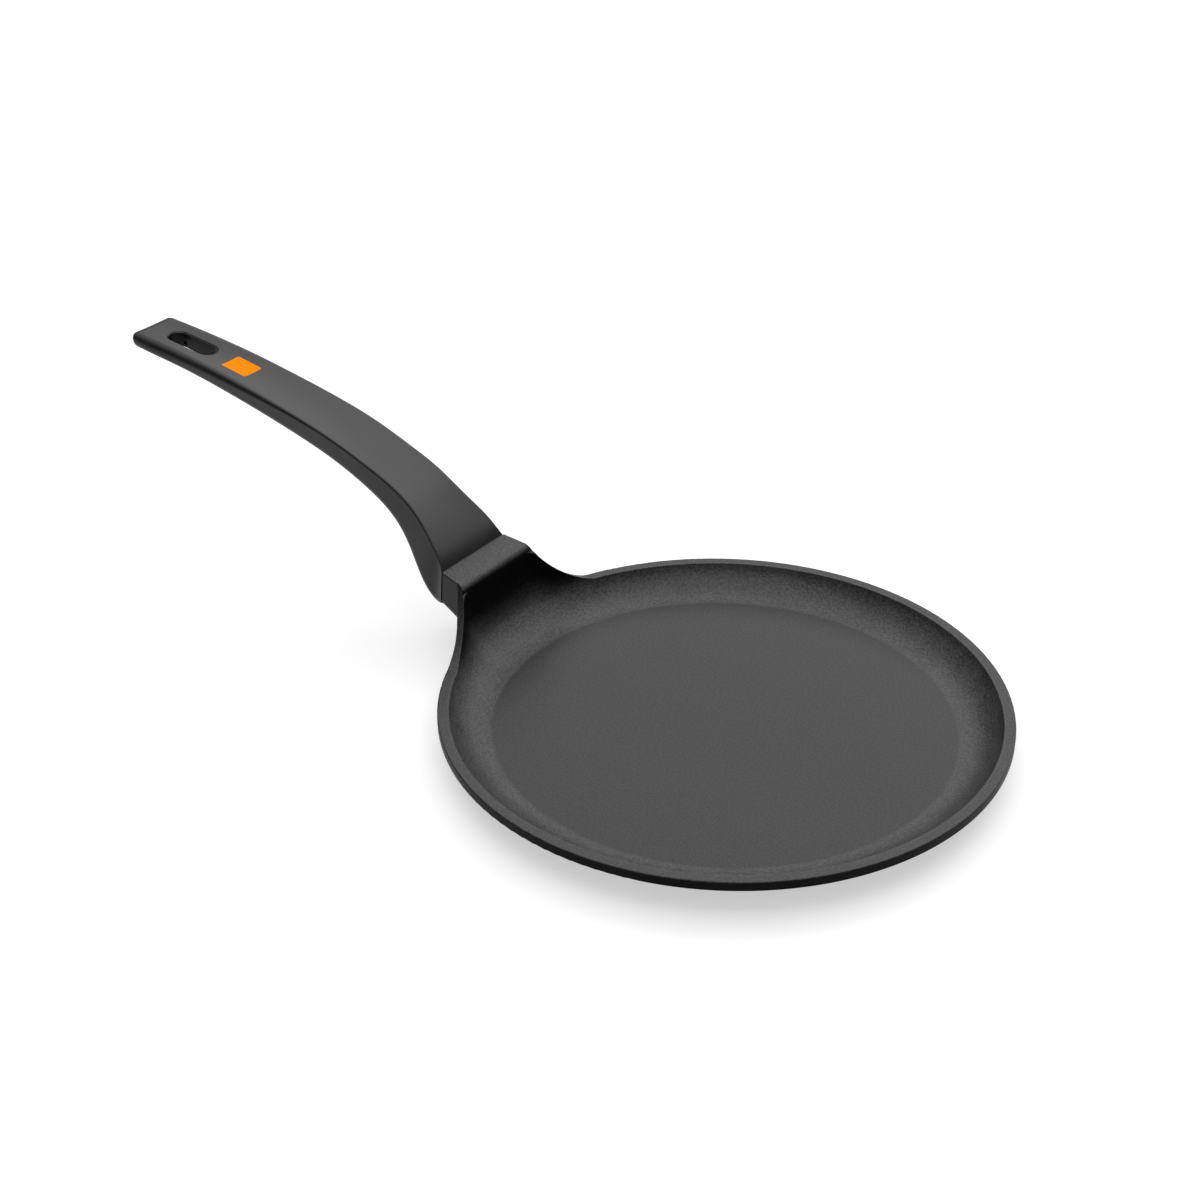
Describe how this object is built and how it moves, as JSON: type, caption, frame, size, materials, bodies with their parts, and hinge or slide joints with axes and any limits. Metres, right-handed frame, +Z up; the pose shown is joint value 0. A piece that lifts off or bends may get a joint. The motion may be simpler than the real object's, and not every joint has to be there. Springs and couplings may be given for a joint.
{
  "type": "crepe pan",
  "caption": "Low round pan with a flat floor and a thick lip, for turning thin pancakes, with a long arched handle on a raised bracket and a slot to hang it by.",
  "frame": {"origin": "middle of the base, on the face that stands on the hob", "axes": "+Z up, the handle runs along -X, +Y completes the right-handed frame"},
  "size_m": [0.4505, 0.24, 0.1021],
  "materials": {
    "nonstick_cast": "dark grey grainy non-stick coating on cast aluminium, satin",
    "guard_plastic": "fine matte texture",
    "handle_plastic": "soft satin black",
    "badge_orange": "plain orange, semi-gloss",
    "plate_steel": "turned",
    "insert_brass": "turned",
    "screw_steel": "zinc plated",
    "washer_steel": "zinc plated"
  },
  "bodies": {
    "root": {"pan_body": "nonstick_cast", "flame_guard": "guard_plastic", "handle": "handle_plastic", "badge_inlay": "badge_orange", "induction_plate": "plate_steel", "threaded_insert": "insert_brass", "handle_screw": "screw_steel", "spring_washer": "washer_steel", "flat_washer": "washer_steel"}
  },
  "joints": []
}
